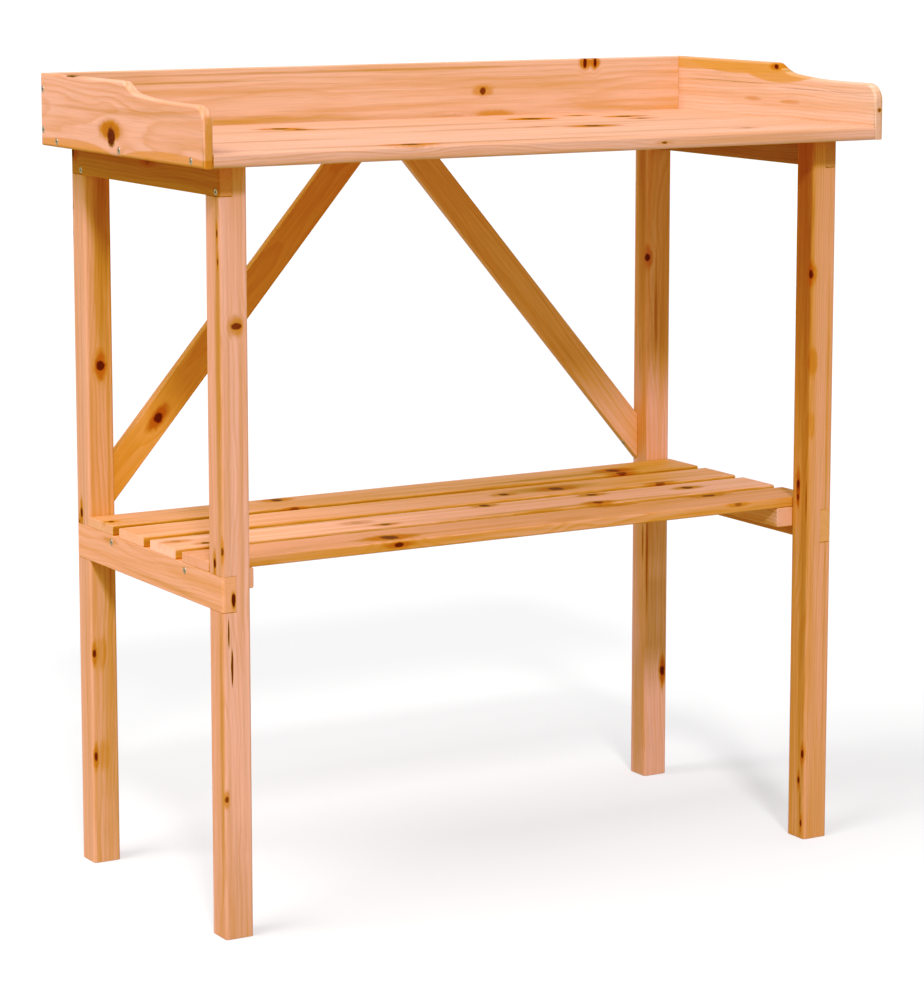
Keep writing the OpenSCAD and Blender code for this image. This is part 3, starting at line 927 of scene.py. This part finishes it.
def make_surround():
    woods = {
        "side_board_left": dict(
            tint=(0.83, 0.395, 0.23), seed=91, pith=(-8, 46, 14, 18), spacing=4.2, contrast=1.1,
            end_share=(0.74, 0.62, 0.45),
            knots=[((20, -13, 0), (8.5, 7.5, 0), 0.0, 0.9), ((17.4, -19.5, 0), (9.5, 10.5, 0), 1.0, 0.0),
                   ((117, 39, 0), (15, 2, 0), 1.0, 0.3)],
            hearts=[((120, -44, 0), (110, 17, 0), 0.75), ((-120, -44, 0), (125, 17, 0), 0.75)],
            streaks=[((60, 6, 0), (170, 2, 0), 0.3), ((-110, 10, 0), (110, 4, 0), 0.3)]),
        "side_board_right": dict(
            tint=(0.765, 0.475, 0.315), seed=95, pith=(66, -14, 20, 8), spacing=3.8,
            end_share=(0.9, 0.78, 0.7),
            hearts=[((150, 38.5, 0), (190, 13, 0), 0.9), ((60, 38.5, 0), (100, 15, 0), 0.9),
                    ((-17, 38.5, 0), (80, 22, 0), 0.9), ((0, 0, 6.5), (500, 90, 5), 0.45)],
            knots=[((-12, 34, 0), (4, 3, 0), 1.0, 0.8), ((33, -4, 0), (5, 1.6, 0), 0.0, 0.4),
                   ((-38, -5, 0), (6, 1.6, 0), 0.0, 0.35), ((-195, -6, 0), (3, 2.2, 2.2), 0.7, 0.4)],
            streaks=[((-20, 34.2, 0), (7, 1.8, 0), 0.9), ((-29, 30, 0), (7, 1.6, 0), 0.8)],
            cracks=[((90, 14, 0), (95, 0.6, 0), 0.4), ((-100, 10.5, 0), (95, 0.6, 0), 0.4)]),
    }
    for name, wood in woods.items():
        side = -1 if name.endswith("left") else 1
        board = make_side_board("timber_" + name, side)
        settle(board, name, on_side(board_screws + back_screws, side),
               fir("fir_" + name, middle_of(name), "yzx", **wood))
    back = make_bar("timber_back_board", BACK_LOW, BACK_HIGH, "x", [0, 0, BACK_R, BACK_R], PANEL_EASE)
    upper = [s for s in diagonal_screws if abs(s[0].x) < BRACE_SPLIT]
    knots = [((269.6, 34, 0), (2.6, 6, 0), 1.0, 0.8), ((283.3, 34, 0), (2.2, 6, 0), 1.0, 0.8),
             ((130.6, 4.8, 0), (4.4, 4.2, 0), 0.85, 0.5), ((146, -23, 0), (9, 4, 0), 0.0, 0.5),
             ((85, -26, 0), (10, 4, 0), 0.0, 0.35)]
    streaks = [((-200, -22, 0), (260, 8, 0), 0.3), ((-60, 32, 0), (320, 1.5, 0), 0.45),
               ((-250, 24, 0), (120, 1.2, 0), 0.5), ((220, -30, 0), (200, 5, 0), 0.25)]
    wood = fir("fir_back_board", middle_of("back_board"), "xzy", (0.735, 0.43, 0.265), 99, (-6, 44, 10, 12),
               spacing=4.0, wander=9, contrast=0.65, banding=0.7, knots=knots, streaks=streaks,
               hearts=[((0, 0, 6.5), (900, 90, 5), 0.4)])
    settle(back, "back_board", back_screws + upper, wood)


def place_screws():
    metal = zinc()
    sets = {"side_board_screws": board_screws, "back_board_screws": back_screws, "rail_screws": rail_screws,
            "worktop_screws": worktop_screws, "cleat_screws": cleat_screws, "slat_screws": slat_screws,
            "brace_screws": diagonal_screws}
    for node, screws in sets.items():
        settle(make_screws(node, screws), node, (), metal)


# ---------------------------------------------------------------- floor and light

FLOOR_REACH = 40
FLOOR_COLOUR = (0.45, 0.45, 0.45, 1)
FLOOR_GLOW = 0.46
FILL_STRENGTH = 0.54
# Curve points (value in, value out) of the green and of the blue channel
GREEN_TOE = ((0.05, 0.02), (0.10, 0.065), (0.15, 0.13), (0.20, 0.195), (0.40, 0.40))
BLUE_TOE = ((0.05, 0.008), (0.10, 0.025), (0.15, 0.095), (0.20, 0.178), (0.40, 0.40))
# Azimuth, elevation and softness in degrees, and strength
SUNS = {"key": (22, 38, 8, 1.64), "side": (85, 53, 35, 1.92), "top": (0, 90, 80, 0.10)}


def make_floor():
    """A pale matt floor that looks white to the camera but throws less light on the bench."""
    bm = bmesh.new()
    bmesh.ops.create_grid(bm, x_segments=1, y_segments=1, size=FLOOR_REACH)
    floor = build("floor", bm)
    net = Net("pale_floor")
    path = net.node("ShaderNodeLightPath", {})
    paper = net.node("ShaderNodeBsdfDiffuse", {"Color": FLOOR_COLOUR})
    seen = net.mul(path.outputs["Is Camera Ray"], FLOOR_GLOW)
    glow = net.node("ShaderNodeEmission", {"Color": (1, 1, 1, 1), "Strength": seen})
    both = net.node("ShaderNodeAddShader", {0: paper.outputs[0], 1: glow.outputs[0]})
    net.node("ShaderNodeOutputMaterial", {"Surface": both.outputs[0]})
    floor.data.materials.append(net.material)


def make_sun(name, azimuth, elevation, softness, strength):
    """A soft light from far off. The azimuth is in degrees to the left of the bench's front."""
    data = bpy.data.lights.new(name, "SUN")
    data.angle = math.radians(softness)
    data.energy = strength
    lamp = bpy.data.objects.new(name, data)
    lamp.rotation_euler = (math.radians(90 - elevation), 0, math.radians(-azimuth))
    bpy.context.scene.collection.objects.link(lamp)


def make_world():
    """White all round, but dimmer as a source of diffuse light, so that shaded faces keep their depth."""
    world = bpy.data.worlds.new("studio")
    bpy.context.scene.world = world
    world.use_nodes = True
    nodes, links = world.node_tree.nodes, world.node_tree.links
    path = nodes.new("ShaderNodeLightPath")
    fall = nodes.new("ShaderNodeMapRange")
    fall.inputs["To Min"].default_value = 1.0
    fall.inputs["To Max"].default_value = FILL_STRENGTH
    links.new(path.outputs["Is Diffuse Ray"], fall.inputs["Value"])
    back = nodes["Background"]
    back.inputs["Color"].default_value = (1, 1, 1, 1)
    links.new(fall.outputs["Result"], back.inputs["Strength"])


def grade():
    """A gentle toe: the darkest part of the blue, and less of the green, goes deeper. The rest stays."""
    view = bpy.context.scene.view_settings
    view.view_transform = "Standard"
    view.use_curve_mapping = True
    for curve, toe in zip(view.curve_mapping.curves[1:3], (GREEN_TOE, BLUE_TOE)):
        for at, to in toe:
            curve.points.new(at, to)
    view.curve_mapping.update()


def make_light():
    make_world()
    for name, sun in SUNS.items():
        make_sun(name, *sun)
    grade()


make_camera()
make_legs()
make_rails()
make_cleats()
make_slats()
make_braces()
make_worktop()
make_surround()
place_screws()
make_floor()
make_light()
